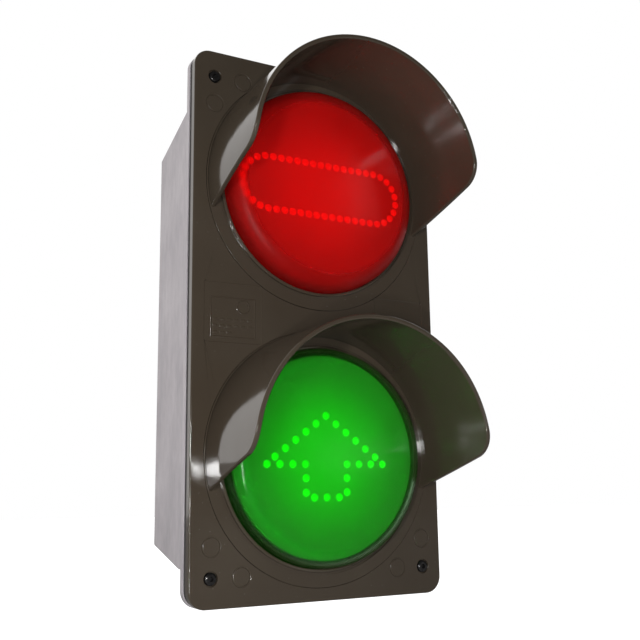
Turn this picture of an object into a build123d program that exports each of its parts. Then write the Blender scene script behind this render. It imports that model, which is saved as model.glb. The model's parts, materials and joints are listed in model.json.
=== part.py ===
from build123d import *
import math
import os

# Traffic signal head with a red aspect over a green one.
# Millimetres, +Z up, front towards -Y, origin at the centre of the rear mounting hole pattern.

# Overall sizes
COVER_W = 182.0
COVER_H = 356.0
COVER_R = 11.0
COVER_WALL = 3.0
COVER_RETURN = 5.0
COVER_EDGE_R = 0.8
DEPTH = 93.5
Y_FACE = -DEPTH

# Aspect centres and visors
RED_Z = 91.3
GREEN_Z = -87.7
OPENING_R = 70.6
RING_R = 82.0
RING_PROUD = 0.3
RING_SUNK = 1.4
RING_GAP = 0.3
BEAD_R = 72.8
BEAD_T = 1.4
GROOVE_W = 1.5
GROOVE_T = 0.9
HOOD_R = 81.5
HOOD_WALL = 3.0
HOOD_L = 73.0
HOOD_DROP = -21.0
HOOD_SLOPE = 17.2
HOOD_CORNER_R = 17.0
HOOD_RIM_R = 1.0

# Lens stack, as distances behind the cover's front face
LENS_R = 70.0
LENS_WALL = 2.5
LENS_FRONT = -16.6
LENS_SHOULDER_R = 11.0
LENS_FLANGE_R = 75.5
LENS_GASKET_BACK = 3.8
LENS_FLANGE_BACK = 5.3
RETAINER_RIM_BACK = 6.5
RETAINER_BACK = 8.5
RETAINER_STEP_R = 64.0
RETAINER_IN_R = 56.0
PILLAR_R = 3.5
PILLAR_AT = 42.0
PILLAR_HOLE_L = 6.0
LUG_X = 60.0
LUG_Z = 59.0
LUG_R = 5.2
BOSS_R = 4.6

# Boards and lamps
BOARD_R = 65.0
BOARD_BACK = -0.9
BOARD_T = 1.6
BOARD_FRONT = BOARD_BACK - BOARD_T
MASK_R = 65.3
MASK_T = 1.0
MASK_FRONT = -5.5
MASK_RIM = 1.6
LED_R = 2.5
LED_FLANGE_R = 2.9
LED_FLANGE_T = 1.0
LED_H = 4.6
RESISTOR_R = 1.2
RESISTOR_L = 6.4
RESISTOR_X = 28.0
RESISTOR_PITCH = 12.0
RED_PITCH = 6.0
RED_BAR_W = 118.0
RED_BAR_H = 36.0
GREEN_PITCH = 9.0
ARROW_W = 87.0
ARROW_H = 52.0
ARROW_HEAD_H = 31.0
ARROW_SHAFT_W = 30.0

# Gasket and back box
GASKET_BACK = 9.35
FLANGE_FRONT = 9.4
FLANGE_BACK = 11.0
FLANGE_LIP_BACK = 13.6
GASKET_INSET = 0.6
GASKET_RELIEF = 0.5
BOX_W = 162.0
SHEET = 1.5
BOX_BEND_R = 2.2
BOX_HALF_H = 158.5
BOX_SIDE = [
    (FLANGE_BACK, -BOX_HALF_H),
    (49.5, -156.8),
    (DEPTH, -144.8),
    (DEPTH, 132.0),
    (33.0, 154.8),
    (FLANGE_BACK, BOX_HALF_H),
]
GASKET_OPEN_W = 160.0
GASKET_OPEN_H = 315.0

# Fasteners
COVER_SCREW_X = 76.8
COVER_SCREW_Z = 160.4
COVER_SCREW_R = 2.0
COVER_HEAD_R = 3.9
COVER_HEAD_T = 2.5
COVER_HEAD_EDGE_R = 1.4
COVER_SOCKET = 2.9
COUNTERBORE_R = 4.6
COUNTERBORE_T = 1.9
COLLAR_R = 3.2
COLLAR_L = 3.0
RUNNING = 0.06
VISOR_SCREW_AT = 78.7
VISOR_SCREW_ANGLES = (-150.0, -97.0, -35.0, 35.0, 97.0, 150.0)
VISOR_SCREW_R = 1.2
VISOR_PEG_R = 2.2
RETAINER_SCREW_R = 1.6
BOARD_SCREW_R = 1.4

# Screw heads
VISOR_HEAD_R = 2.9
VISOR_HEAD_T = 1.5
RETAINER_HEAD_R = 3.2
RETAINER_HEAD_T = 2.0
BOARD_HEAD_R = 2.6
BOARD_HEAD_T = 1.6
THREAD_FIT = 0.02

# Cover details: bosses, ribs, label pads and moulding marks
BOSS_START = 2.0
SCREW_BOSS_R = 6.0
BLIND_FLOOR = 1.3
RIB_X = 84.5
RIB_T = 2.0
RIB_BACK = 4.6
RIB_L = 240.0
PAD_X = 63.0
PAD_Z = 2.3
PAD_W = 39.5
PAD_H = 38.4
PAD_R = 1.0
PAD_DEPTH = 0.4
FRAME_W = 31.0
FRAME_H = 26.0
FRAME_Z = -0.8
FRAME_LINE = 0.7
MARK_PROUD = 0.3
MARK_W = 3.0
MARK_H = 1.2
MARK_PITCH = 4.8
MARK_ROWS = ((-2.2, 6), (-6.4, 6), (-10.6, 3))
RING_MARK_R = 4.6
RING_MARK_X = 7.0
RING_MARK_Z = 6.6
WITNESS_R = 6.2
WITNESS_LINE = 0.7
WITNESS_DEPTH = 0.2
WITNESS_UPPER = (76.5, 141.8)
WITNESS_INNER = (56.7, 160.2)

# Wall side
WALL_IN = -SHEET
MOUNT_X = 50.0
MOUNT_Z = 100.0
MOUNT_R = 3.5
ENTRY_Z = -110.0
ENTRY_HOLE_R = 11.1
ENTRY_BORE_R = 8.0
ENTRY_L = 8.9
ENTRY_LIP_R = 13.5
ENTRY_LIP_T = 2.1
PSU_W = 110.0
PSU_H = 62.0
PSU_D = 31.0
PSU_Z = 35.0
PSU_WALL = 1.2
PSU_FOOT = 9.0
PSU_STUD_X = 60.0
PSU_STUD_Z = 24.0
STUD_R = 2.0
STUD_END = -0.1
STUD_PAST_SEAT = 6.0
NUT_ACROSS = 7.0
NUT_T = 3.2
BLOCK_X = 25.0
BLOCK_Z = -44.0
BLOCK_W = 46.0
BLOCK_H = 22.0
BLOCK_STUD_X = 19.0
EARTH_X = -45.0
EARTH_Z = -44.0
EARTH_BASE_T = 6.4
EARTH_BASE_ACROSS = 8.0
EARTH_SEAT = WALL_IN - EARTH_BASE_T
EARTH_TIP = -16.0
TONGUE_T = 0.8
TONGUE_W = 3.6
EYE_R = 4.4
BARREL_R = 1.9
BARREL_L = 7.0
BARREL_Z = 11.5
WASHER_R = 4.5
WASHER_T = 0.8

# Wiring
LEAD_R = 0.9
LEAD_GAP = 3.4
PIN_R = 0.4
HEADER_W = 12.0
HEADER_H = 9.4
HEADER_L = 13.0
HEADER_WALL = 1.0
PLUG_FIT = 0.35
PLUG_L = 18.0
PLUG_IN = 7.0
LEAD_SOCKET = 5.0
LEAD_INSIDE = 4.0

EPS = 0.01


def at_depth(d):
    """Y of a plane d behind the cover's front face; negative d lies in front of it."""
    return Y_FACE + d


def front_plane(d, x=0.0, z=0.0):
    """Sketch plane facing -Y at depth d, with its x along +X and its y along +Z."""
    return Plane(origin=(x, at_depth(d), z), x_dir=(1, 0, 0), z_dir=(0, -1, 0))


def disc(r, d0, d1, x=0.0, z=0.0):
    """Cylinder along Y between depths d0 (front) and d1 (back)."""
    return extrude(front_plane(d1, x, z) * Circle(r), amount=d1 - d0)


def ring(r_out, r_in, d0, d1, x=0.0, z=0.0):
    return disc(r_out, d0, d1, x, z) - disc(r_in, d0 - 1, d1 + 1, x, z)


def slab(w, h, d0, d1, x=0.0, z=0.0, r=0.0):
    """Rectangular plate facing the front, with optional corner radius."""
    outline = RectangleRounded(w, h, r) if r > 0 else Rectangle(w, h)
    return extrude(front_plane(d1, x, z) * outline, amount=d1 - d0)


def block(x0, x1, y0, y1, z0, z1):
    size = (x1 - x0, y1 - y0, z1 - z0)
    centre = ((x0 + x1) / 2, (y0 + y1) / 2, (z0 + z1) / 2)
    return Pos(*centre) * Box(*size)


def rod_y(r, y0, y1, x, z):
    return Pos(x, (y0 + y1) / 2, z) * Rot(90, 0, 0) * Cylinder(r, abs(y1 - y0))


def hex_y(across, y0, y1, x, z):
    plane = Plane(origin=(x, y1, z), x_dir=(1, 0, 0), z_dir=(0, -1, 0))
    return extrude(plane * RegularPolygon(across / math.sqrt(3), 6), amount=y1 - y0)


def fillet_if_able(shape, edges, radius):
    """Rounds the edges; a radius that does not fit is halved twice before being left sharp."""
    for r in (radius, radius / 2, radius / 4):
        try:
            done = fillet(edges, r)
        except Exception:
            continue
        if done.is_valid:
            return done
    return shape


def corners(x, z):
    return [(x, z), (-x, z), (-x, -z), (x, -z)]


def lugs(cz):
    return [(x, cz + z) for x, z in corners(LUG_X, LUG_Z)]


def pillars(cz):
    return [(x, cz + z) for x, z in corners(PILLAR_AT, PILLAR_AT)]


def ring_points(cz):
    """Visor fixing points; the angles are measured from straight up."""
    turns = [math.radians(a) for a in VISOR_SCREW_ANGLES]
    r = VISOR_SCREW_AT
    return [(r * math.sin(a), cz + r * math.cos(a)) for a in turns]


# Front cover

def label_marks():
    """Raised frame, rows of short bars and a ring in the recess of the left label pad."""
    top = PAD_DEPTH - MARK_PROUD
    base = PAD_DEPTH + 0.5
    frame = slab(FRAME_W, FRAME_H, top, base, x=-PAD_X, z=FRAME_Z)
    inner_w = FRAME_W - 2 * FRAME_LINE
    inner_h = FRAME_H - 2 * FRAME_LINE
    frame -= slab(inner_w, inner_h, top - 1, base + 1, x=-PAD_X, z=FRAME_Z)
    out = [frame]
    first = -PAD_X - FRAME_W / 2 + MARK_W
    for z, count in MARK_ROWS:
        for k in range(count):
            out.append(slab(MARK_W, MARK_H, top, base, x=first + MARK_PITCH * k, z=z))
    ring_x = RING_MARK_X - PAD_X
    out.append(ring(RING_MARK_R, RING_MARK_R - FRAME_LINE, top, base, ring_x, RING_MARK_Z))
    return out


def front_cover():
    body = slab(COVER_W, COVER_H, 0, COVER_RETURN, r=COVER_R)
    front_edges = body.faces().sort_by(Axis.Y)[0].edges()
    body = fillet(front_edges, COVER_EDGE_R)
    inner_w = COVER_W - 2 * COVER_WALL
    inner_h = COVER_H - 2 * COVER_WALL
    inner_r = COVER_R - COVER_WALL
    body -= slab(inner_w, inner_h, COVER_WALL, COVER_RETURN + 1, r=inner_r)
    for x, z in corners(COVER_SCREW_X, COVER_SCREW_Z):
        body += disc(SCREW_BOSS_R, BOSS_START, COVER_RETURN, x, z)
    for cz in (RED_Z, GREEN_Z):
        for x, z in lugs(cz):
            body += disc(BOSS_R, BOSS_START, LENS_FLANGE_BACK, x, z)
    for x in (-RIB_X, RIB_X):
        body += slab(RIB_T, RIB_L, BOSS_START, RIB_BACK, x=x)
    for cz in (RED_Z, GREEN_Z):
        body -= disc(OPENING_R, -1, COVER_RETURN + 1, z=cz)
        for x, z in lugs(cz):
            body -= disc(RETAINER_SCREW_R, BLIND_FLOOR, COVER_RETURN + 1, x, z)
        body -= disc(RING_R + RING_GAP, -1, RING_SUNK, z=cz)
        for x, z in ring_points(cz):
            body -= disc(VISOR_PEG_R + 0.2, -1, COVER_WALL + 1, x, z)
    for x, z in corners(COVER_SCREW_X, COVER_SCREW_Z):
        body -= disc(COVER_SCREW_R + 0.2, -1, COVER_RETURN + 1, x, z)
        body -= disc(COUNTERBORE_R, -1, COUNTERBORE_T, x, z)
    for x in (-PAD_X, PAD_X):
        body -= slab(PAD_W, PAD_H, -1, PAD_DEPTH, x=x, z=PAD_Z, r=PAD_R)
    body += label_marks()
    for x, z in corners(*WITNESS_UPPER) + corners(*WITNESS_INNER):
        body -= ring(WITNESS_R, WITNESS_R - WITNESS_LINE, -1, WITNESS_DEPTH, x, z)
    return body


def cover_gasket():
    gasket_w = COVER_W - 2 * GASKET_INSET
    gasket_h = COVER_H - 2 * GASKET_INSET
    body = slab(gasket_w, gasket_h, COVER_RETURN, GASKET_BACK, r=COVER_R - GASKET_INSET)
    body -= slab(GASKET_OPEN_W, GASKET_OPEN_H, 0, 20, r=3.0)
    for cz in (RED_Z, GREEN_Z):
        body -= disc(LENS_FLANGE_R + GASKET_RELIEF, 0, RETAINER_RIM_BACK + 0.1, z=cz)
    for x, z in corners(COVER_SCREW_X, COVER_SCREW_Z):
        body -= disc(COVER_SCREW_R + 0.3, 0, 20, x, z)
    return body


def cover_screws():
    out = []
    for x, z in corners(COVER_SCREW_X, COVER_SCREW_Z):
        top = COUNTERBORE_T - COVER_HEAD_T
        head = disc(COVER_HEAD_R, top, COUNTERBORE_T, x, z)
        rim = head.edges().sort_by(Axis.Y)[0]
        head = fillet(rim, COVER_HEAD_EDGE_R)
        head += disc(COVER_SCREW_R, COUNTERBORE_T - EPS, FLANGE_BACK + 4.5, x, z)
        head -= hex_y(COVER_SOCKET, at_depth(top - 1), at_depth(top + 1.6), x, z)
        out.append(head)
    return Compound(out)


# Visors

def hood_profile():
    """Side view of what is kept of the hood: y is forward of the cover, z is above the lens centre."""
    slope = math.radians(HOOD_SLOPE)
    end_z = HOOD_DROP + HOOD_L * math.tan(slope)
    cut = HOOD_CORNER_R * math.tan((math.pi / 2 - slope) / 2)
    on_line = (HOOD_L - cut * math.cos(slope), end_z - cut * math.sin(slope))
    on_front = (HOOD_L, end_z + cut)
    top = HOOD_R + 5
    return on_line, on_front, top


def visor(cz):
    on_line, on_front, top = hood_profile()
    side = Plane(origin=(0, Y_FACE, cz), x_dir=(0, -1, 0), z_dir=(-1, 0, 0))
    with BuildSketch(side) as sk:
        with BuildLine():
            Line((0, HOOD_DROP), on_line)
            TangentArc(on_line, on_front, tangent=(on_line[0], on_line[1] - HOOD_DROP))
            Line(on_front, (HOOD_L, top))
            Line((HOOD_L, top), (-0.5, top))
            Line((-0.5, top), (-0.5, HOOD_DROP))
            Line((-0.5, HOOD_DROP), (0, HOOD_DROP))
        make_face()
    keep = extrude(sk.sketch, amount=HOOD_R + 10, both=True)
    tube = ring(HOOD_R, HOOD_R - HOOD_WALL, -HOOD_L, 0.5, z=cz)
    hood = tube & keep
    rim = [e for e in hood.edges() if e.bounding_box().min.Y < Y_FACE - 1]
    hood = fillet_if_able(hood, rim, HOOD_RIM_R)
    base = ring(RING_R, OPENING_R, -RING_PROUD, RING_SUNK, z=cz)
    front = base.edges().filter_by(GeomType.CIRCLE).sort_by(Axis.Y)[0:2]
    base = fillet(front.sort_by(SortBy.RADIUS)[-1], RING_PROUD * 0.8)
    bead = ring(BEAD_R, OPENING_R, -RING_PROUD - BEAD_T, RING_SUNK, z=cz)
    bead = fillet(bead.edges().sort_by(Axis.Y)[0:2], 0.8)
    groove = ring(BEAD_R + GROOVE_W, BEAD_R, -RING_PROUD - 1, -RING_PROUD + GROOVE_T, z=cz)
    body = base - groove + bead + hood
    for x, z in ring_points(cz):
        body += disc(VISOR_PEG_R, RING_SUNK - 0.5, COVER_WALL, x, z)
    for x, z in ring_points(cz):
        body -= disc(VISOR_SCREW_R, 0.3, COVER_WALL + 1, x, z)
    return body


def visor_screws():
    out = []
    for cz in (RED_Z, GREEN_Z):
        for x, z in ring_points(cz):
            screw = disc(VISOR_HEAD_R, COVER_WALL, COVER_WALL + VISOR_HEAD_T, x, z)
            screw = fillet(screw.edges().sort_by(Axis.Y)[-1], VISOR_HEAD_T / 3)
            out.append(screw + disc(VISOR_SCREW_R - THREAD_FIT, 0.5, COVER_WALL + EPS, x, z))
    return Compound(out)


# Lens stack

def lens(cz):
    """Flat-fronted drum shell with a rounded shoulder and a clamping flange."""
    outer = disc(LENS_R, LENS_FRONT, LENS_FLANGE_BACK, z=cz)
    outer = fillet(outer.edges().sort_by(Axis.Y)[0], LENS_SHOULDER_R)
    hollow = disc(LENS_R - LENS_WALL, LENS_FRONT + LENS_WALL, LENS_FLANGE_BACK + 1, z=cz)
    hollow = fillet(hollow.edges().sort_by(Axis.Y)[0], LENS_SHOULDER_R - LENS_WALL)
    flange = ring(LENS_FLANGE_R, LENS_R - 1, LENS_GASKET_BACK, LENS_FLANGE_BACK, z=cz)
    return outer + flange - hollow


def lens_gasket(cz):
    return ring(LENS_FLANGE_R, OPENING_R + 0.4, COVER_WALL, LENS_GASKET_BACK, z=cz)


def lens_retainer(cz):
    body = ring(LENS_FLANGE_R, RETAINER_IN_R, LENS_FLANGE_BACK, RETAINER_RIM_BACK, z=cz)
    body += ring(RETAINER_STEP_R, RETAINER_IN_R, LENS_FLANGE_BACK, RETAINER_BACK, z=cz)
    for x, z in lugs(cz):
        body += disc(LUG_R, LENS_FLANGE_BACK, RETAINER_BACK, x, z)
        mid_x = x * 0.9
        mid_z = cz + (z - cz) * 0.9
        body += disc(LUG_R, LENS_FLANGE_BACK, RETAINER_BACK, mid_x, mid_z)
    for x, z in pillars(cz):
        body += disc(PILLAR_R, BOARD_BACK, LENS_FLANGE_BACK + 1, x, z)
    for x, z in lugs(cz):
        body -= disc(RETAINER_SCREW_R + 0.2, 0, 20, x, z)
    for x, z in pillars(cz):
        body -= disc(BOARD_SCREW_R, BOARD_BACK - 1, BOARD_BACK + PILLAR_HOLE_L, x, z)
    return body


def retainer_screws():
    out = []
    for cz in (RED_Z, GREEN_Z):
        for x, z in lugs(cz):
            screw = disc(RETAINER_HEAD_R, RETAINER_BACK, RETAINER_BACK + RETAINER_HEAD_T, x, z)
            screw = fillet(screw.edges().sort_by(Axis.Y)[-1], RETAINER_HEAD_T * 0.4)
            tip = BLIND_FLOOR + 0.2
            screw += disc(RETAINER_SCREW_R - THREAD_FIT, tip, RETAINER_BACK + EPS, x, z)
            out.append(screw)
    return Compound(out)


# Lamp patterns

def along(points, pitch):
    """Points evenly spaced round a closed path of straight runs, close to the pitch."""
    runs = list(zip(points, points[1:] + points[:1]))
    lengths = [math.dist(a, b) for a, b in runs]
    total = sum(lengths)
    count = round(total / pitch)
    out = []
    for k in range(count):
        left = total * k / count
        for (a, b), length in zip(runs, lengths):
            if left <= length:
                t = left / length
                out.append((a[0] + (b[0] - a[0]) * t, a[1] + (b[1] - a[1]) * t))
                break
            left -= length
    return out


def red_pattern():
    """Outline of a wide bar with round ends: the halt symbol."""
    r = RED_BAR_H / 2
    half = RED_BAR_W / 2 - r
    steps = 24
    path = []
    for centre, start in ((half, 90), (-half, 270)):
        for k in range(steps + 1):
            a = math.radians(start - 180 * k / steps)
            path.append((centre + r * math.cos(a), r * math.sin(a)))
    return along(path, RED_PITCH)


def green_pattern():
    """Outline of an arrow pointing up: the proceed symbol."""
    top = ARROW_H / 2
    neck = top - ARROW_HEAD_H
    w = ARROW_W / 2
    s = ARROW_SHAFT_W / 2
    path = [(0, top), (w, neck), (s, neck), (s, -top), (-s, -top), (-s, neck), (-w, neck)]
    return along(path, GREEN_PITCH)


def led_board(cz):
    body = disc(BOARD_R, BOARD_FRONT, BOARD_BACK, z=cz)
    for x, z in pillars(cz):
        body -= disc(BOARD_SCREW_R + 0.2, -20, 20, x, z)
    return body


def led_mask(cz, pattern):
    """Disc in front of the board with a hole for each lamp and a rim that stands on the board."""
    body = disc(MASK_R, MASK_FRONT, BOARD_FRONT, z=cz)
    body -= disc(MASK_R - MASK_RIM, MASK_FRONT + MASK_T, BOARD_FRONT + 1, z=cz)
    holes = [disc(LED_R + 0.1, MASK_FRONT - 1, 0, x, cz + z) for x, z in pattern]
    return body - holes


def leds(cz, pattern):
    lamp = disc(LED_FLANGE_R, BOARD_FRONT - LED_FLANGE_T, BOARD_FRONT)
    barrel = disc(LED_R, BOARD_FRONT - LED_H, BOARD_FRONT - LED_FLANGE_T + EPS)
    lamp += fillet(barrel.edges().sort_by(Axis.Y)[0], LED_R - 0.1)
    return Compound([Pos(x, 0, cz + z) * lamp for x, z in pattern])


def board_screws():
    out = []
    for cz in (RED_Z, GREEN_Z):
        for x, z in pillars(cz):
            screw = disc(BOARD_HEAD_R, BOARD_FRONT - BOARD_HEAD_T, BOARD_FRONT, x, z)
            screw = fillet(screw.edges().sort_by(Axis.Y)[0], BOARD_HEAD_T * 0.45)
            tip = BOARD_BACK + PILLAR_HOLE_L - 0.5
            screw += disc(BOARD_SCREW_R - THREAD_FIT, BOARD_FRONT - EPS, tip, x, z)
            out.append(screw)
    return Compound(out)


def resistors(cz):
    y = at_depth(BOARD_BACK + RESISTOR_R + 0.05)
    out = []
    for x in (-RESISTOR_X, RESISTOR_X):
        for row in (-1, 0, 1):
            at = Pos(x, y, cz + RESISTOR_PITCH * row)
            out.append(at * Rot(0, 90, 0) * Cylinder(RESISTOR_R, RESISTOR_L))
    return Compound(out)


def header(cz):
    d0 = BOARD_BACK
    d1 = BOARD_BACK + HEADER_L
    body = slab(HEADER_W, HEADER_H, d0, d1, z=cz)
    inner_w = HEADER_W - 2 * HEADER_WALL
    inner_h = HEADER_H - 2 * HEADER_WALL
    body -= slab(inner_w, inner_h, d1 - PLUG_IN - HEADER_WALL, d1 + 1, z=cz)
    for x in (-LEAD_GAP / 2, LEAD_GAP / 2):
        body -= disc(PIN_R + THREAD_FIT, d0 - 1, d1, x, cz)
    return body


def header_pins():
    out = []
    for cz in (RED_Z, GREEN_Z):
        for x in (-LEAD_GAP / 2, LEAD_GAP / 2):
            out.append(disc(PIN_R, BOARD_BACK + 0.1, BOARD_BACK + HEADER_L - 2.0, x, cz))
    return Compound(out)


def plug(cz):
    w = HEADER_W - 2 * HEADER_WALL - 2 * PLUG_FIT
    h = HEADER_H - 2 * HEADER_WALL - 2 * PLUG_FIT
    d0 = BOARD_BACK + HEADER_L - PLUG_IN
    d1 = d0 + PLUG_L
    body = slab(w, h, d0, d1, z=cz)
    body = fillet(body.edges().filter_by(Axis.Y), 0.5)
    for x in (-LEAD_GAP / 2, LEAD_GAP / 2):
        body -= disc(PIN_R + 0.35, d0 - 1, d0 + PLUG_IN, x, cz)
        body -= disc(LEAD_R + 0.03, d1 - LEAD_SOCKET, d1 + 1, x, cz)
    return body


# Wiring

def lead(points, r=LEAD_R):
    """Round lead along straight runs joined by the largest even bends that fit."""
    bends = []
    for a, b, c in zip(points, points[1:], points[2:]):
        u = [q - p for p, q in zip(a, b)]
        v = [q - p for p, q in zip(b, c)]
        lu = math.hypot(*u)
        lv = math.hypot(*v)
        turn = math.acos(sum(p * q for p, q in zip(u, v)) / (lu * lv))
        bends.append(0.45 * min(lu, lv) / math.tan(turn / 2))
    if bends:
        path = FilletPolyline(*points, radius=min(bends))
        print("lead bend radius", round(min(bends), 2), "length", round(path.length, 1))
    else:
        path = Line(*points)
    start = Plane(origin=path @ 0, z_dir=path % 0)
    body = sweep(start * Circle(r), path=path)
    print("lead volume ratio", round(body.volume / (math.pi * r * r * path.length), 4))
    return body


def board_leads(cz, y, z_start):
    back = at_depth(BOARD_BACK + HEADER_L - PLUG_IN + PLUG_L - LEAD_SOCKET + 0.2)
    out = []
    for x in (-LEAD_GAP / 2, LEAD_GAP / 2):
        out.append(lead([(x, y, z_start), (x, y, cz), (x, back, cz)]))
    return Compound(out)


# Back box

def box_solid(inset):
    """Closed block inside the box's side profile, moved inwards by the inset."""
    plane = Plane(origin=(0, Y_FACE, 0), x_dir=(0, 1, 0), z_dir=(1, 0, 0))
    face = make_face(Polyline(*BOX_SIDE, close=True))
    if inset > 0:
        face = offset(face, -inset, kind=Kind.INTERSECTION)
    return extrude(plane * face, amount=BOX_W / 2 - inset, both=True)


def wall_studs_at():
    """Each stud's (x, z) and the y of the face that its nut sits on."""
    out = [((x, PSU_Z + z), PSU_BACK - PSU_WALL) for x, z in corners(PSU_STUD_X, PSU_STUD_Z)]
    for side in (-1, 1):
        out.append(((BLOCK_X + side * BLOCK_STUD_X, BLOCK_Z), BLOCK_TAB))
    return out


def back_box():
    body = box_solid(0.0)
    rear = [e for e in body.edges() if e.bounding_box().min.Y > Y_FACE + FLANGE_BACK + 1]
    body = fillet_if_able(body, rear, BOX_BEND_R)
    body -= box_solid(SHEET)
    inner_w = BOX_W - 2 * SHEET
    inner_h = 2 * (BOX_HALF_H - SHEET)
    body -= slab(inner_w, inner_h, 5, FLANGE_BACK + SHEET + 0.5)
    flange = slab(COVER_W, COVER_H, FLANGE_FRONT, FLANGE_LIP_BACK, r=COVER_R)
    lip_w = COVER_W - 2 * SHEET
    lip_h = COVER_H - 2 * SHEET
    flange -= slab(lip_w, lip_h, FLANGE_BACK, FLANGE_LIP_BACK + 1, r=COVER_R - SHEET)
    flange -= slab(inner_w, inner_h, 5, 20)
    body += flange
    for x, z in corners(COVER_SCREW_X, COVER_SCREW_Z):
        body += disc(COLLAR_R, FLANGE_BACK - 0.5, FLANGE_BACK + COLLAR_L, x, z)
    for x, z in corners(COVER_SCREW_X, COVER_SCREW_Z):
        body -= disc(COVER_SCREW_R + RUNNING, 5, FLANGE_BACK + 6, x, z)
    for x, z in corners(MOUNT_X, MOUNT_Z):
        body -= rod_y(MOUNT_R, -5, 5, x, z)
    for x, z in [at for at, seat in wall_studs_at()] + [(EARTH_X, EARTH_Z)]:
        body -= rod_y(STUD_R + THREAD_FIT, -5, 5, x, z)
    body -= rod_y(ENTRY_HOLE_R, -5, 5, 0, ENTRY_Z)
    return body


def entry_bushing():
    body = rod_y(ENTRY_HOLE_R - 0.1, -ENTRY_L - 0.1, -0.1, 0, ENTRY_Z)
    body += rod_y(ENTRY_LIP_R, WALL_IN - ENTRY_LIP_T, WALL_IN, 0, ENTRY_Z)
    body -= rod_y(ENTRY_BORE_R, -20, 5, 0, ENTRY_Z)
    return body


# Power supply

PSU_BACK = WALL_IN
PSU_FRONT = WALL_IN - PSU_D
PCB_BACK = PSU_BACK - 6.0
PCB_FRONT = PCB_BACK - BOARD_T
PCB_W = 100.0
PCB_H = 50.0

# Places are (x, z) from the supply's centre, then the size and how far it stands off the board
TRANSFORMER = (0.0, -1.0, 28.0, 28.0, 17.0)
CHOKE = (36.0, -11.0, 20.0, 14.0, 13.0)
CAPACITORS = (
    (-34.0, 12.0, 7.0, 16.0),
    (-34.0, -8.0, 7.0, 16.0),
    (30.0, 12.0, 5.0, 12.0),
    (42.0, 12.0, 5.0, 12.0),
)
SPACER_X = 44.0
SPACER_Z = 21.5
SPACER_R = 3.0
VENT_COUNT = 9
VENT_PITCH = 8.0
VENT_W = 2.4
VENT_H = 16.0
VENT_Z = 15.0
LEAD_HOLE_GAP = 0.15


def power_supply_case():
    x = PSU_W / 2
    z0 = PSU_Z - PSU_H / 2
    z1 = PSU_Z + PSU_H / 2
    body = block(-x, x, PSU_FRONT + PSU_WALL, PSU_BACK, z0, z1)
    body += block(-x - PSU_FOOT, x + PSU_FOOT, PSU_BACK - PSU_WALL, PSU_BACK, z0, z1)
    body -= block(
        -x + PSU_WALL, x - PSU_WALL,
        PSU_FRONT - 1, PSU_BACK - PSU_WALL,
        z0 + PSU_WALL, z1 - PSU_WALL,
    )
    for sx, sz in corners(PSU_STUD_X, PSU_STUD_Z):
        body -= rod_y(STUD_R + 0.25, -20, 5, sx, PSU_Z + sz)
    holes = [(-LEAD_GAP / 2, z1), (LEAD_GAP / 2, z1), (-LEAD_GAP / 2, z0), (LEAD_GAP / 2, z0)]
    for hx, hz in holes:
        body -= Pos(hx, LEAD_Y, hz) * Cylinder(LEAD_R + LEAD_HOLE_GAP, 6)
    for hx in POLES[1:]:
        body -= Pos(hx, INPUT_Y, z0) * Cylinder(LEAD_R + LEAD_HOLE_GAP, 6)
    return body


def power_supply_lid():
    z0 = PSU_Z - PSU_H / 2
    z1 = PSU_Z + PSU_H / 2
    x = PSU_W / 2
    body = block(-x, x, PSU_FRONT, PSU_FRONT + PSU_WALL, z0, z1)
    half = (VENT_COUNT - 1) / 2
    for k in range(VENT_COUNT):
        sx = VENT_PITCH * (k - half)
        for sz in (PSU_Z - VENT_Z, PSU_Z + VENT_Z):
            x0, x1 = sx - VENT_W / 2, sx + VENT_W / 2
            body -= block(x0, x1, PSU_FRONT - 1, PSU_FRONT + 3, sz - VENT_H / 2, sz + VENT_H / 2)
    return body


def power_supply_board():
    x = PCB_W / 2
    z = PCB_H / 2
    return block(-x, x, PCB_FRONT, PCB_BACK, PSU_Z - z, PSU_Z + z)


def power_supply_parts():
    """Transformer, capacitors and a choke on the front of the board, spacers behind it."""
    out = []
    for x, z, w, h, tall in (TRANSFORMER, CHOKE):
        z += PSU_Z
        out.append(block(x - w / 2, x + w / 2, PCB_FRONT - tall, PCB_FRONT, z - h / 2, z + h / 2))
    for x, z, r, tall in CAPACITORS:
        out.append(rod_y(r, PCB_FRONT - tall, PCB_FRONT, x, PSU_Z + z))
    for x, z in corners(SPACER_X, SPACER_Z):
        out.append(rod_y(SPACER_R, PCB_BACK, PSU_BACK - PSU_WALL, x, PSU_Z + z))
    return Compound(out)


def wall_studs():
    out = []
    for (x, z), seat in wall_studs_at():
        out.append(rod_y(STUD_R, seat - STUD_PAST_SEAT, STUD_END, x, z))
    return Compound(out)


def wall_nuts():
    out = []
    for (x, z), seat in wall_studs_at():
        nut = hex_y(NUT_ACROSS, seat - NUT_T, seat, x, z)
        out.append(nut - rod_y(STUD_R + THREAD_FIT, -30, 5, x, z))
    return Compound(out)


# Terminal block and earth

BLOCK_TAB = WALL_IN - 4.0
BLOCK_D = 15.0
INPUT_Y = -8.3
LEAD_Y = -17.0
POLES = (18.0, 25.0, 32.0)
POLE_WALL = 4.0
TAB_INSET = 4.0
CLAMP_R = 2.2
CLAMP_IN = 5.5
CLAMP_SUNK = 1.0
CLAMP_END = INPUT_Y - 2.6
SLOT_W = 0.7
SLOT_DEEP = 0.9


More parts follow.
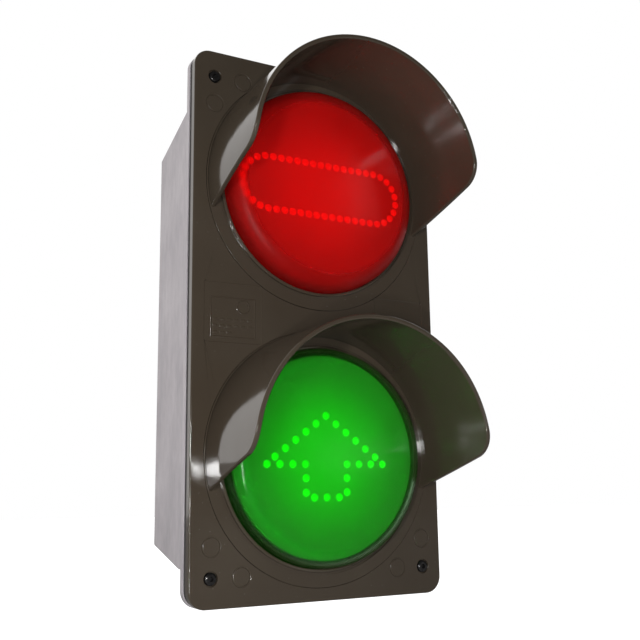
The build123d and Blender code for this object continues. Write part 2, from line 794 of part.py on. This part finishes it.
def terminal_block():
    z0 = BLOCK_Z - BLOCK_H / 2
    z1 = BLOCK_Z + BLOCK_H / 2
    x0 = BLOCK_X - BLOCK_W / 2
    x1 = BLOCK_X + BLOCK_W / 2
    body = block(x0, x1, BLOCK_TAB, WALL_IN, z0 + TAB_INSET, z1 - TAB_INSET)
    body += block(
        POLES[0] - POLE_WALL, POLES[-1] + POLE_WALL,
        WALL_IN - BLOCK_D, WALL_IN,
        z0, z1,
    )
    for x in POLES:
        for z, side in ((z0, 1), (z1, -1)):
            body -= Pos(x, INPUT_Y, z) * Cylinder(LEAD_R + 0.1, 2 * CLAMP_IN + 1)
            clamp_z = z + side * CLAMP_IN
            body -= rod_y(CLAMP_R + 0.2, WALL_IN - BLOCK_D - 1, CLAMP_END + 0.1, x, clamp_z)
    for side in (-1, 1):
        body -= rod_y(STUD_R + 0.25, -30, 5, BLOCK_X + side * BLOCK_STUD_X, BLOCK_Z)
    return body


def terminal_screws():
    out = []
    z0 = BLOCK_Z - BLOCK_H / 2
    z1 = BLOCK_Z + BLOCK_H / 2
    for x in POLES:
        for z in (z0 + CLAMP_IN, z1 - CLAMP_IN):
            head = WALL_IN - BLOCK_D + CLAMP_SUNK
            screw = rod_y(CLAMP_R, head, CLAMP_END, x, z)
            slot_w = SLOT_W / 2
            screw -= block(x - 3, x + 3, head - 1, head + SLOT_DEEP, z - slot_w, z + slot_w)
            out.append(screw)
    return Compound(out)


def input_leads():
    z0 = BLOCK_Z + BLOCK_H / 2 - CLAMP_IN
    z1 = PSU_Z - PSU_H / 2 + LEAD_INSIDE
    return Compound([lead([(x, INPUT_Y, z0), (x, INPUT_Y, z1)]) for x in POLES[1:]])


def earth_stud():
    body = hex_y(EARTH_BASE_ACROSS, EARTH_SEAT, WALL_IN, EARTH_X, EARTH_Z)
    return body + rod_y(STUD_R, EARTH_TIP, STUD_END, EARTH_X, EARTH_Z)


def earth_ring_terminal():
    y0 = EARTH_SEAT - TONGUE_T
    x0, x1 = EARTH_X - TONGUE_W / 2, EARTH_X + TONGUE_W / 2
    body = rod_y(EYE_R, y0, EARTH_SEAT, EARTH_X, EARTH_Z)
    body += block(x0, x1, y0, EARTH_SEAT, EARTH_Z, EARTH_Z + BARREL_Z - BARREL_L / 3)
    body += Pos(EARTH_X, INPUT_Y, EARTH_Z + BARREL_Z) * Cylinder(BARREL_R, BARREL_L)
    body -= rod_y(STUD_R + 0.2, -30, 5, EARTH_X, EARTH_Z)
    body -= Pos(EARTH_X, INPUT_Y, EARTH_Z + BARREL_Z + 1.0) * Cylinder(LEAD_R + 0.05, 6)
    return body


def earth_washer():
    y1 = EARTH_SEAT - TONGUE_T
    body = rod_y(WASHER_R, y1 - WASHER_T, y1, EARTH_X, EARTH_Z)
    return body - rod_y(STUD_R + 0.2, -30, 5, EARTH_X, EARTH_Z)


def earth_nut():
    y1 = EARTH_SEAT - TONGUE_T - WASHER_T
    body = hex_y(NUT_ACROSS, y1 - NUT_T, y1, EARTH_X, EARTH_Z)
    return body - rod_y(STUD_R + THREAD_FIT, -30, 5, EARTH_X, EARTH_Z)


def earth_lead():
    z0 = BLOCK_Z + BLOCK_H / 2 - CLAMP_IN
    top = PSU_Z - PSU_H / 2 - 5.0
    path = [
        (POLES[0], INPUT_Y, z0),
        (POLES[0], INPUT_Y, top),
        (EARTH_X, INPUT_Y, top),
        (EARTH_X, INPUT_Y, EARTH_Z + BARREL_Z - 1.3),
    ]
    return lead(path)


def build():
    red = red_pattern()
    green = green_pattern()
    print("lamps", len(red), len(green))
    top_exit = PSU_Z + PSU_H / 2 - LEAD_INSIDE
    low_exit = PSU_Z - PSU_H / 2 + LEAD_INSIDE
    return {
        "front_cover": front_cover(),
        "cover_gasket": cover_gasket(),
        "cover_screws": cover_screws(),
        "red_visor": visor(RED_Z),
        "green_visor": visor(GREEN_Z),
        "visor_screws": visor_screws(),
        "red_lens": lens(RED_Z),
        "green_lens": lens(GREEN_Z),
        "red_lens_gasket": lens_gasket(RED_Z),
        "green_lens_gasket": lens_gasket(GREEN_Z),
        "red_lens_retainer": lens_retainer(RED_Z),
        "green_lens_retainer": lens_retainer(GREEN_Z),
        "retainer_screws": retainer_screws(),
        "red_led_board": led_board(RED_Z),
        "green_led_board": led_board(GREEN_Z),
        "red_led_mask": led_mask(RED_Z, red),
        "green_led_mask": led_mask(GREEN_Z, green),
        "red_leds": leds(RED_Z, red),
        "green_leds": leds(GREEN_Z, green),
        "board_screws": board_screws(),
        "red_resistors": resistors(RED_Z),
        "green_resistors": resistors(GREEN_Z),
        "red_header": header(RED_Z),
        "green_header": header(GREEN_Z),
        "header_pins": header_pins(),
        "red_plug": plug(RED_Z),
        "green_plug": plug(GREEN_Z),
        "red_leads": board_leads(RED_Z, LEAD_Y, top_exit),
        "green_leads": board_leads(GREEN_Z, LEAD_Y, low_exit),
        "back_box": back_box(),
        "entry_bushing": entry_bushing(),
        "power_supply_case": power_supply_case(),
        "power_supply_lid": power_supply_lid(),
        "power_supply_board": power_supply_board(),
        "power_supply_parts": power_supply_parts(),
        "wall_studs": wall_studs(),
        "wall_nuts": wall_nuts(),
        "terminal_block": terminal_block(),
        "terminal_screws": terminal_screws(),
        "input_leads": input_leads(),
        "earth_stud": earth_stud(),
        "earth_washer": earth_washer(),
        "earth_nut": earth_nut(),
        "earth_ring_terminal": earth_ring_terminal(),
        "earth_lead": earth_lead(),
    }


os.makedirs("parts", exist_ok=True)
for name, shape in build().items():
    export_step(shape, f"parts/{name}.step")
    box = shape.bounding_box()
    print(name, round(shape.volume, 1), len(shape.solids()), box.min, box.max)
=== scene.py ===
import json
import math

import bmesh
import bpy
from mathutils import Matrix, Vector

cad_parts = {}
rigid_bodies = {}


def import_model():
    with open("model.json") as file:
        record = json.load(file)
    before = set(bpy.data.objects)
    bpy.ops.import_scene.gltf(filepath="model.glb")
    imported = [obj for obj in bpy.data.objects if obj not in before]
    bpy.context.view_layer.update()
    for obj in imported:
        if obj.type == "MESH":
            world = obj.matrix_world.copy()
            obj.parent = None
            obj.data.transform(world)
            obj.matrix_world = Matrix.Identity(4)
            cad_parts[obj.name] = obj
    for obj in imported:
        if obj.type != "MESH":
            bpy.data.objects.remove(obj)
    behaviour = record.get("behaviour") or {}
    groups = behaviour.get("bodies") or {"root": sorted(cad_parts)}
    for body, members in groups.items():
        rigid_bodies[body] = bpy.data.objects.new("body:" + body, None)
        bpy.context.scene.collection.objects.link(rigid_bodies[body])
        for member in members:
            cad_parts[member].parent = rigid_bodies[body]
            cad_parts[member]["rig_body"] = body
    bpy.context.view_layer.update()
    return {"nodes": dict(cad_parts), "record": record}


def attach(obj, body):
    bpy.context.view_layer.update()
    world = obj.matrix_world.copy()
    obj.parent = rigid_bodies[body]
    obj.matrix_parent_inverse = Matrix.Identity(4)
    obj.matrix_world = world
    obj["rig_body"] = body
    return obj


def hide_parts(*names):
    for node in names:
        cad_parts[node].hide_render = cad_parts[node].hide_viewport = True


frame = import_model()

NODES = frame["nodes"]
MM = 0.001


def box_of(node):
    """Least and greatest corner of a node's shape, in millimetres."""
    corners = [Vector(corner) / MM for corner in NODES[node].bound_box]
    axes = list(zip(*corners))
    return Vector([min(axis) for axis in axes]), Vector([max(axis) for axis in axes])


COVER_LO = box_of("front_cover")[0]
MASK_HI = box_of("red_led_mask")[1]
RED_LO, RED_HI = box_of("red_lens")
GREEN_LO, GREEN_HI = box_of("green_lens")

# Places and sizes taken from the frame, in millimetres. Depths go back from the cover's face.
Y_FACE = COVER_LO.y
RED_Z = (RED_LO.z + RED_HI.z) / 2
GREEN_Z = (GREEN_LO.z + GREEN_HI.z) / 2
MASK_R = MASK_HI.x
LENS_FLANGE_R = RED_HI.x
LENS_FRONT = RED_LO.y - Y_FACE
LENS_FLANGE_BACK = RED_HI.y - Y_FACE

# The rest of the lens, in millimetres
LENS_R = 70.0
LENS_WALL = 2.5
LENS_SHOULDER_R = 11.0
LENS_CROWN = 0.9
LENS_FLANGE_T = 1.5


# ---------------------------------------------------------------- camera

# Place in metres, angles in radians, lens and sensor in mm
CAM_POS = Vector((-289.87, -520.35 + Y_FACE, -109.77)) * MM
CAM_YAW = 0.5082
CAM_PITCH = 0.1867
CAM_ROLL = -0.0135
CAM_LENS = 51.0
CAM_SENSOR = 36.0
CAM_CLIP = 0.01


def camera():
    """Camera in front of the object, to its left and a little below its middle."""
    fwd0 = Vector((math.sin(CAM_YAW), math.cos(CAM_YAW), 0))
    right0 = Vector((math.cos(CAM_YAW), -math.sin(CAM_YAW), 0))
    up0 = Vector((0, 0, 1))
    fwd = fwd0 * math.cos(CAM_PITCH) + up0 * math.sin(CAM_PITCH)
    up1 = up0 * math.cos(CAM_PITCH) - fwd0 * math.sin(CAM_PITCH)
    right = right0 * math.cos(CAM_ROLL) + up1 * math.sin(CAM_ROLL)
    up = up1 * math.cos(CAM_ROLL) - right0 * math.sin(CAM_ROLL)
    data = bpy.data.cameras.new("camera")
    data.lens = CAM_LENS
    data.sensor_width = CAM_SENSOR
    data.clip_start = CAM_CLIP
    obj = bpy.data.objects.new("camera", data)
    m = Matrix((right, up, -fwd)).transposed().to_4x4()
    m.translation = CAM_POS
    obj.matrix_world = m
    bpy.context.scene.collection.objects.link(obj)
    bpy.context.scene.camera = obj


camera()


# ---------------------------------------------------------------- material nodes

# The part of a noise texture's range that is stretched over a whole change of tone
NOISE_LO, NOISE_HI = 0.3, 0.7


class Nodes:
    """Short way to write a material's node tree."""

    def __init__(self, name):
        self.mat = bpy.data.materials.new(name)
        self.mat.use_nodes = True
        self.nt = self.mat.node_tree
        self.nt.nodes.clear()
        self.out = self.nt.nodes.new("ShaderNodeOutputMaterial")
        self.coord = self.nt.nodes.new("ShaderNodeTexCoord").outputs["Object"]

    def add(self, kind, inputs=None, **props):
        node = self.nt.nodes.new(kind)
        for key, value in props.items():
            setattr(node, key, value)
        for key, value in (inputs or {}).items():
            self.put(node.inputs[key], value)
        return node

    def put(self, socket, value):
        if isinstance(value, bpy.types.NodeSocket):
            self.nt.links.new(value, socket)
        else:
            socket.default_value = value

    def math(self, op, a, b, clamp=False):
        node = self.add("ShaderNodeMath", {0: a, 1: b}, operation=op, use_clamp=clamp)
        return node.outputs[0]

    def vec(self, op, a, b=(0, 0, 0)):
        node = self.add("ShaderNodeVectorMath", {0: a, 1: b}, operation=op)
        return node.outputs["Value" if op == "LENGTH" else "Vector"]

    def scaled(self, by):
        return self.vec("MULTIPLY", self.coord, by)

    def noise(self, scale, detail=3.0, rough=0.5, at=None):
        inputs = {
            "Vector": at or self.coord, "Scale": scale, "Detail": detail,
            "Roughness": rough, "Distortion": 0.0,
        }
        return self.add("ShaderNodeTexNoise", inputs).outputs["Fac"]

    def cells(self, scale):
        inputs = {"Vector": self.coord, "Scale": scale}
        return self.add("ShaderNodeTexVoronoi", inputs).outputs["Distance"]

    def ramp(self, fac, lo, hi, to_lo=0.0, to_hi=1.0, smooth=False):
        inputs = {"Value": fac, "From Min": lo, "From Max": hi, "To Min": to_lo, "To Max": to_hi}
        node = self.add("ShaderNodeMapRange", inputs, clamp=True)
        if smooth:
            node.interpolation_type = "SMOOTHSTEP"
        return node.outputs["Result"]

    def spread(self, noise, to_lo=0.0, to_hi=1.0):
        """A noise texture's middle range, stretched from one value to another."""
        return self.ramp(noise, NOISE_LO, NOISE_HI, to_lo, to_hi)

    def between(self, share, start, end):
        """The start value where share is 0, the end value where it is 1."""
        return self.ramp(share, 0.0, 1.0, start, end)

    def mix(self, fac, a, b):
        node = self.add("ShaderNodeMix", data_type="RGBA")
        self.put(node.inputs["Factor"], fac)
        self.put(node.inputs["A"], a)
        self.put(node.inputs["B"], b)
        return node.outputs["Result"]

    def bump(self, height, strength, distance, normal=None):
        inputs = {"Height": height, "Strength": strength, "Distance": distance}
        if normal is not None:
            inputs["Normal"] = normal
        return self.add("ShaderNodeBump", inputs).outputs["Normal"]

    def radius(self, cz):
        """Distance from the aspect's axis, in metres."""
        offset = self.vec("SUBTRACT", self.coord, (0.0, 0.0, cz * MM))
        return self.vec("LENGTH", self.vec("MULTIPLY", offset, (1.0, 0.0, 1.0)))

    def principled(self, **sockets):
        node = self.add("ShaderNodeBsdfPrincipled")
        for key, value in sockets.items():
            self.put(node.inputs[key.replace("_", " ")], value)
        self.nt.links.new(node.outputs[0], self.out.inputs["Surface"])
        return self.mat


def rgb(r, g, b):
    return (r, g, b, 1.0)


def cover_plastic(name):
    """Moulded dark brown-grey plastic: glossy, a little cloudy, with fine pale specks, partly
    dirt and partly painted glints.
    """
    n = Nodes(name)
    cloud = n.noise(14.0, 4.0, 0.55)
    fine = n.noise(900.0, 2.0, 0.5)
    colour = n.mix(n.spread(cloud), rgb(0.048, 0.0365, 0.0255), rgb(0.057, 0.0445, 0.0320))
    # Pale specks painted into the colour: partly dirt, partly painted glints.
    specks = n.ramp(n.cells(210.0), 0.0, 0.09, 1.0, 0.0)
    patchy = n.ramp(n.noise(9.0, 2.0), 0.50, 0.62)
    dust_and_glint_specks = n.math("MULTIPLY", n.math("MULTIPLY", specks, patchy), 0.5)
    colour = n.mix(dust_and_glint_specks, colour, rgb(0.22, 0.21, 0.20))
    rough = n.math("ADD", n.spread(cloud, 0.07, 0.11), n.spread(fine, 0.0, 0.02))
    wave = n.noise(38.0, 2.0, 0.5)
    normal = n.bump(wave, 0.06, 0.004)
    normal = n.bump(fine, 0.05, 0.0001, normal)
    return n.principled(Base_Color=colour, Roughness=rough, Normal=normal, IOR=1.5)


def sheet_metal(name):
    """Dull grey zinc-coated sheet with soft upright blotches."""
    n = Nodes(name)
    blotch = n.noise(26.0, 5.0, 0.62, at=n.scaled((1.0, 1.0, 0.45)))
    grain = n.noise(300.0, 3.0, 0.6, at=n.scaled((1.0, 1.0, 0.25)))
    tone = n.math("ADD", n.math("MULTIPLY", blotch, 0.75), n.math("MULTIPLY", grain, 0.25))
    colour = n.mix(n.ramp(tone, 0.35, 0.65), rgb(0.36, 0.335, 0.36), rgb(0.56, 0.53, 0.55))
    rough = n.spread(tone, 0.50, 0.66)
    normal = n.bump(grain, 0.25, 0.0002)
    normal = n.bump(blotch, 0.10, 0.001, normal)
    return n.principled(Base_Color=colour, Metallic=0.55, Roughness=rough, Normal=normal)


def foam(name):
    """Dark closed-cell foam."""
    n = Nodes(name)
    cell = n.cells(1400.0)
    tint = n.noise(60.0, 3.0)
    colour = n.mix(n.spread(tint), rgb(0.026, 0.023, 0.022), rgb(0.036, 0.032, 0.031))
    normal = n.bump(cell, 0.4, 0.0002)
    return n.principled(Base_Color=colour, Roughness=0.85, Normal=normal)


def plain(name, base, rough, metallic=0.0, scale=400.0, spread=0.12, bump=0.00008):
    """Lightly varied finish for small and inside pieces."""
    n = Nodes(name)
    grain = n.noise(scale, 3.0, 0.55)
    lo = rgb(*[c * (1 - spread) for c in base])
    hi = rgb(*[min(1.0, c * (1 + spread)) for c in base])
    colour = n.mix(n.spread(grain), lo, hi)
    roughness = n.spread(grain, max(0.03, rough - 0.06), min(1.0, rough + 0.06))
    normal = n.bump(grain, 0.3, bump)
    return n.principled(Base_Color=colour, Metallic=metallic, Roughness=roughness, Normal=normal)


def spill(n, diffuse, glossy):
    """1 where a lit surface is seen; other shares for its light on matt or glossy neighbours."""
    path = n.add("ShaderNodeLightPath")
    depth = path.outputs["Ray Depth"]
    indirect = n.math("SUBTRACT", depth, path.outputs["Transmission Depth"], clamp=True)
    share = n.between(indirect, 1.0, diffuse)
    mirrored = n.between(path.outputs["Is Glossy Ray"], 1.0, glossy / diffuse)
    return n.math("MULTIPLY", share, mirrored)


# Refractive index, and the radii in mm between which the front passes into the shoulder
LENS_IOR = 1.40
SHOULDER_START = 56.0
SHOULDER_FULL = 64.0


def lens_plastic(name, cz, tint, body, own_painted_glow, milk, diffuse, satin, fade):
    """Clear tinted shell mixed with a milky colour that takes light and shadow; the milky part
    also glows, though the lens is no lamp, as a painted glow.

    The shoulder is rougher by satin, its milky colour is painted darker as painted shade, and its
    share of the milky colour and glow is fade times the front's, which darkens it further.
    """
    n = Nodes(name)
    ripple = n.noise(30.0, 2.0, 0.5)
    normal = n.bump(ripple, 0.03, 0.001)
    shoulder = n.ramp(n.radius(cz), SHOULDER_START * MM, SHOULDER_FULL * MM, smooth=True)
    clear = n.add("ShaderNodeBsdfPrincipled", {
        "Base Color": tint, "Normal": normal, "IOR": LENS_IOR,
        "Roughness": n.math("ADD", n.spread(n.noise(80.0, 3.0), 0.12, 0.15),
                            n.math("MULTIPLY", shoulder, satin)),
        "Specular IOR Level": 0.0, "Specular Tint": rgb(0.25, 0.25, 0.25),
        "Transmission Weight": 1.0,
    })
    # Painted shade: the milky colour is darker towards the shoulder.
    shade = n.math("MULTIPLY", n.spread(ripple, 0.85, 1.0), n.between(shoulder, 1.0, 0.55))
    grey = n.add("ShaderNodeCombineXYZ", {0: shade, 1: shade, 2: shade}).outputs[0]
    cloudy = n.add("ShaderNodeBsdfPrincipled", {
        "Base Color": n.vec("MULTIPLY", body[:3], grey), "Normal": normal, "IOR": LENS_IOR,
        "Specular IOR Level": n.between(shoulder, 0.35, 0.0),
        "Roughness": n.between(shoulder, 0.22, 0.45),
        # Painted glow: the milky shell emits light, though it is no lamp.
        "Emission Color": own_painted_glow, "Emission Strength": spill(n, diffuse, 0.3),
    })
    share = n.spread(n.noise(60.0, 3.0), milk * 0.95, milk * 1.05)
    # The shoulder takes less of the milky colour and glow, painting it darker.
    share = n.math("MULTIPLY", share, n.between(shoulder, 1.0, fade))
    both = n.add("ShaderNodeMixShader", {0: share, 1: clear.outputs[0], 2: cloudy.outputs[0]})
    n.put(n.out.inputs["Surface"], both.outputs[0])
    return n.mat


def glow(name, cz, inner, outer, edge, power):
    """Disc behind a lens with a painted glow, though it is no lamp: brightest in the middle,
    dimmer and paler towards its edge.
    """
    n = Nodes(name)
    radius = n.math("DIVIDE", n.radius(cz), MASK_R * MM)
    shade = n.mix(n.ramp(radius, 0.15, 0.95, smooth=True), inner, outer)
    shade = n.mix(n.ramp(radius, 0.90, 1.0, smooth=True), shade, edge)
    uneven = n.spread(n.noise(45.0, 3.0), 0.96, 1.04)
    strength = n.math("MULTIPLY", n.math("MULTIPLY", uneven, power), spill(n, 0.32, 0.15))
    return n.principled(
        Base_Color=outer, Roughness=0.6,
        Emission_Color=shade, Emission_Strength=strength,
    )


def lamp(name, colour, power):
    """Lit lamp body."""
    n = Nodes(name)
    strength = n.spread(n.noise(600.0, 2.0), power * 0.95, power * 1.05)
    strength = n.math("MULTIPLY", strength, spill(n, 0.3, 0.1))
    return n.principled(
        Base_Color=colour, Roughness=0.4,
        Emission_Color=colour, Emission_Strength=strength,
    )


MATS = {
    "cover_plastic": cover_plastic("cover_plastic_mat"),
    # Lens shells: painted glow, shed more strongly on matt neighbours than it is seen.
    "red_lens_plastic": lens_plastic(
        "red_lens_mat", RED_Z, tint=rgb(1.0, 0.45, 0.45), body=rgb(0.50, 0.006, 0.005),
        own_painted_glow=rgb(0.10, 0.001, 0.001), milk=0.42, diffuse=2.7, satin=0.28, fade=0.85,
    ),
    "green_lens_plastic": lens_plastic(
        "green_lens_mat", GREEN_Z, tint=rgb(0.55, 1.0, 0.55), body=rgb(0.012, 0.10, 0.01),
        own_painted_glow=rgb(0.010, 0.085, 0.002), milk=0.25, diffuse=6.0, satin=0.06, fade=0.35,
    ),
    # LED masks: painted glow, though the masks are no lamps.
    "red_mask": glow(
        "red_mask_painted_glow_mat", RED_Z, inner=rgb(0.97, 0.001, 0.001), outer=rgb(0.21, 0.001, 0.001),
        edge=rgb(0.18, 0.008, 0.008), power=1.95,
    ),
    "green_mask": glow(
        "green_mask_painted_glow_mat", GREEN_Z, inner=rgb(0.002, 0.97, 0.006), outer=rgb(0.015, 0.26, 0.018),
        edge=rgb(0.02, 0.14, 0.015), power=1.5,
    ),
    "red_lamp": lamp("red_lamp_mat", rgb(1.0, 0.0, 0.0), 4.5),
    "green_lamp": lamp("green_lamp_mat", rgb(0.0, 1.0, 0.0), 4.0),
    "circuit_board": plain("board_mat", (0.02, 0.12, 0.04), 0.4),
    "sheet_metal": sheet_metal("sheet_metal_mat"),
    "gasket_foam": foam("foam_mat"),
    "black_rubber": plain("rubber_mat", (0.02, 0.02, 0.02), 0.7),
    "black_screw": plain(
        "black_screw_mat", (0.060, 0.058, 0.058), 0.19, metallic=0.9,
        scale=900.0, spread=0.3, bump=0.0001,
    ),
    "zinc_steel": plain("zinc_mat", (0.55, 0.55, 0.55), 0.35, 1.0),
    "nylon_white": plain("nylon_white_mat", (0.75, 0.74, 0.70), 0.5),
    "nylon_black": plain("nylon_black_mat", (0.02, 0.02, 0.02), 0.5),
    "brass_part": plain("brass_mat", (0.7, 0.5, 0.2), 0.3, 1.0),
    "resistor_body": plain("resistor_mat", (0.55, 0.45, 0.3), 0.45),
    "component_black": plain("component_mat", (0.03, 0.03, 0.04), 0.5),
    "wire_red": plain("wire_red_mat", (0.5, 0.02, 0.02), 0.45),
    "wire_green": plain("wire_green_mat", (0.02, 0.3, 0.05), 0.45),
    "wire_black": plain("wire_black_mat", (0.02, 0.02, 0.02), 0.45),
}
SLOT_OF = {s["node"]: s["material_slot"] for s in frame["record"]["subparts"]}
for node_name, node in NODES.items():
    node.data.materials.clear()
    node.data.materials.append(MATS[SLOT_OF[node_name]])


# ---------------------------------------------------------------- mesh pieces

# Distances in metres within which points are joined
WELD = 1e-6
LATHE_WELD = 1e-7

# Angles in degrees above which an edge stays sharp
CAD_SMOOTH = 35.0
LATHE_SMOOTH = 40.0

# Steps round a turned piece
LATHE_STEPS = 160

# Rounded edges: steps across one, least angle in degrees, and how much large faces rule normals
EDGE_STEPS = 2
EDGE_ANGLE = 50.0
NORMAL_WEIGHT = 80


def piece(name, mesh, slot, *nodes):
    """Puts a finished mesh on the body of the nodes it stands for."""
    obj = bpy.data.objects.new(name, mesh)
    bpy.context.scene.collection.objects.link(obj)
    mesh.materials.clear()
    mesh.materials.append(MATS[slot])
    body = NODES[nodes[0]]["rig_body"]
    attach(obj, body)
    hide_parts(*nodes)
    return obj


def smooth(mesh, degrees):
    """Smooth shading with sharp edges above the angle."""
    bm = bmesh.new()
    bm.from_mesh(mesh)
    bmesh.ops.remove_doubles(bm, verts=bm.verts, dist=WELD)
    limit = math.radians(degrees)
    for f in bm.faces:
        f.smooth = True
    for e in bm.edges:
        e.smooth = not (len(e.link_faces) != 2 or e.calc_face_angle(0) > limit)
    bm.to_mesh(mesh)
    bm.free()


# Nodes whose sharp edges get a small moulding radius, in millimetres
ROUNDED_EDGES = {"front_cover": 0.18}


def smooth_copy(node, name):
    """The CAD shape with its curved faces shaded smooth."""
    mesh = NODES[node].data.copy()
    mesh.name = name
    smooth(mesh, CAD_SMOOTH)
    obj = piece(name, mesh, SLOT_OF[node], node)
    if node in ROUNDED_EDGES:
        edges = obj.modifiers.new("edges", "BEVEL")
        edges.width = ROUNDED_EDGES[node] * MM
        edges.segments = EDGE_STEPS
        edges.limit_method = "ANGLE"
        edges.angle_limit = math.radians(EDGE_ANGLE)
        edges.use_clamp_overlap = False
    normals = obj.modifiers.new("normals", "WEIGHTED_NORMAL")
    normals.keep_sharp = True
    normals.weight = NORMAL_WEIGHT


def lathe(name, profile, cz, node):
    """Turns (radius, depth behind the cover's face) points in mm round the aspect's axis."""
    bm = bmesh.new()
    rows = []
    for k in range(LATHE_STEPS):
        a = 2 * math.pi * k / LATHE_STEPS
        row = []
        for r, d in profile:
            at = (r * math.sin(a), Y_FACE + d, cz + r * math.cos(a))
            row.append(bm.verts.new(Vector(at) * MM))
        rows.append(row)
    for k in range(LATHE_STEPS):
        a, b = rows[k], rows[(k + 1) % LATHE_STEPS]
        for i in range(len(profile) - 1):
            bm.faces.new((a[i], b[i], b[i + 1], a[i + 1]))
    bmesh.ops.remove_doubles(bm, verts=bm.verts, dist=LATHE_WELD)
    bmesh.ops.recalc_face_normals(bm, faces=bm.faces)
    mesh = bpy.data.meshes.new(name)
    bm.to_mesh(mesh)
    bm.free()
    smooth(mesh, LATHE_SMOOTH)
    piece(name, mesh, SLOT_OF[node], node)


for node_name in (
    "front_cover", "cover_gasket", "cover_screws", "back_box", "red_visor", "green_visor",
    "red_led_mask", "green_led_mask", "red_leds", "green_leds",
):
    smooth_copy(node_name, node_name + "_piece")


def lens_profile():
    """Crowned front, rounded shoulder, side and flange, then back along the inside."""
    front_r = LENS_R - LENS_SHOULDER_R
    front_steps = 12
    shoulder_steps = 8

    def front(k, depth):
        r = front_r * k / front_steps
        return (r, depth + LENS_CROWN * (r / front_r) ** 2)

    def shoulder(k, bend, depth):
        a = math.pi / 2 * k / shoulder_steps
        return (front_r + bend * math.sin(a), depth + bend * (1 - math.cos(a)))

    edge = LENS_FRONT + LENS_CROWN
    points = [front(k, LENS_FRONT) for k in range(front_steps + 1)]
    points += [shoulder(k, LENS_SHOULDER_R, edge) for k in range(1, shoulder_steps + 1)]
    points += [
        (LENS_R, LENS_FLANGE_BACK - LENS_FLANGE_T),
        (LENS_FLANGE_R, LENS_FLANGE_BACK - LENS_FLANGE_T),
        (LENS_FLANGE_R, LENS_FLANGE_BACK),
        (LENS_R - LENS_WALL, LENS_FLANGE_BACK),
    ]
    inner = LENS_SHOULDER_R - LENS_WALL
    points += [shoulder(k, inner, edge + LENS_WALL) for k in range(shoulder_steps, 0, -1)]
    points += [front(k, LENS_FRONT + LENS_WALL) for k in range(front_steps, -1, -1)]
    return points


for tag, cz in (("red", RED_Z), ("green", GREEN_Z)):
    lathe(tag + "_lens_piece", lens_profile(), cz, tag + "_lens")


# ---------------------------------------------------------------- studio

# Strength of the surroundings in front of the object and behind it, and where they change over
WORLD_FRONT, WORLD_BEHIND = 0.07, 1.30
CHANGE_FROM, CHANGE_TO = -0.10, 0.40

# The floor, in metres
FLOOR_SIZE = 30.0
FLOOR_Z = -0.9


def studio():
    """White backdrop; reflections see it bright behind the object and dimmer in front."""
    world = bpy.data.worlds.new("studio")
    bpy.context.scene.world = world
    world.use_nodes = True
    nt = world.node_tree
    nt.nodes.clear()

    def add(kind, **props):
        node = nt.nodes.new(kind)
        for key, value in props.items():
            setattr(node, key, value)
        return node

    out = add("ShaderNodeOutputWorld")
    seen = add("ShaderNodeBackground")
    seen.inputs["Color"].default_value = rgb(1, 1, 1)
    seen.inputs["Strength"].default_value = 1.0
    coord = add("ShaderNodeTexCoord")
    split = add("ShaderNodeSeparateXYZ")
    nt.links.new(coord.outputs["Generated"], split.inputs[0])
    depth = add("ShaderNodeMapRange", interpolation_type="SMOOTHSTEP")
    for key, value in (
        ("From Min", CHANGE_FROM), ("From Max", CHANGE_TO),
        ("To Min", WORLD_FRONT), ("To Max", WORLD_BEHIND),
    ):
        depth.inputs[key].default_value = value
    nt.links.new(split.outputs["Y"], depth.inputs["Value"])
    light = add("ShaderNodeBackground")
    light.inputs["Color"].default_value = rgb(1.0, 0.985, 0.97)
    nt.links.new(depth.outputs[0], light.inputs["Strength"])
    path = add("ShaderNodeLightPath")
    mixer = add("ShaderNodeMixShader")
    nt.links.new(path.outputs["Is Camera Ray"], mixer.inputs[0])
    nt.links.new(light.outputs[0], mixer.inputs[1])
    nt.links.new(seen.outputs[0], mixer.inputs[2])
    nt.links.new(mixer.outputs[0], out.inputs["Surface"])


def area(name, at, look, size, power):
    """White rectangular light at one point, turned towards another, in metres and watts."""
    data = bpy.data.lights.new(name, "AREA")
    data.shape = "RECTANGLE"
    data.size, data.size_y = size
    data.energy = power
    obj = bpy.data.objects.new(name, data)
    obj.location = at
    turn = (Vector(look) - Vector(at)).to_track_quat("-Z", "Y")
    obj.rotation_euler = turn.to_euler()
    bpy.context.scene.collection.objects.link(obj)


def floor():
    """Pale floor well below the object, bright only as seen, so that it casts little light."""
    bm = bmesh.new()
    bmesh.ops.create_grid(bm, x_segments=8, y_segments=8, size=FLOOR_SIZE)
    mesh = bpy.data.meshes.new("floor")
    bm.to_mesh(mesh)
    bm.free()
    n = Nodes("floor_mat")
    tone = n.spread(n.noise(0.8, 2.0), 0.40, 0.44)
    colour = n.add("ShaderNodeCombineColor", {0: tone, 1: tone, 2: tone}).outputs[0]
    seen = n.add("ShaderNodeLightPath").outputs["Is Camera Ray"]
    n.principled(
        Base_Color=colour, Roughness=0.9,
        Emission_Color=rgb(1, 1, 1), Emission_Strength=seen,
    )
    mesh.materials.append(n.mat)
    obj = bpy.data.objects.new("floor", mesh)
    obj.location = (0, 0, FLOOR_Z)
    bpy.context.scene.collection.objects.link(obj)


# Name, place, point aimed at, width and height, power
LIGHTS = (
    ("key", (-0.43, -0.64, -0.05), (0, -0.11, 0), (0.045, 0.045), 2.25),
    ("flash", (-0.309, -0.651, -0.130), (-0.085, -0.105, -0.10), (0.018, 0.055), 1.15),
    ("low_flash", (-0.336, -0.651, -0.215), (-0.03, -0.105, -0.05), (0.014, 0.030), 0.85),
    ("window", (0.806, -1.295, 0.57), (0.024, -0.11, 0.092), (0.055, 0.20), 0.07),
    ("low_window", (0.79, -1.354, -0.03), (0.010, -0.11, -0.087), (0.22, 0.09), 0.12),
)

studio()
floor()
for light in LIGHTS:
    area(*light)

scene = bpy.context.scene
scene.view_settings.view_transform = "Standard"
scene.cycles.max_bounces = 10
scene.cycles.transmission_bounces = 8
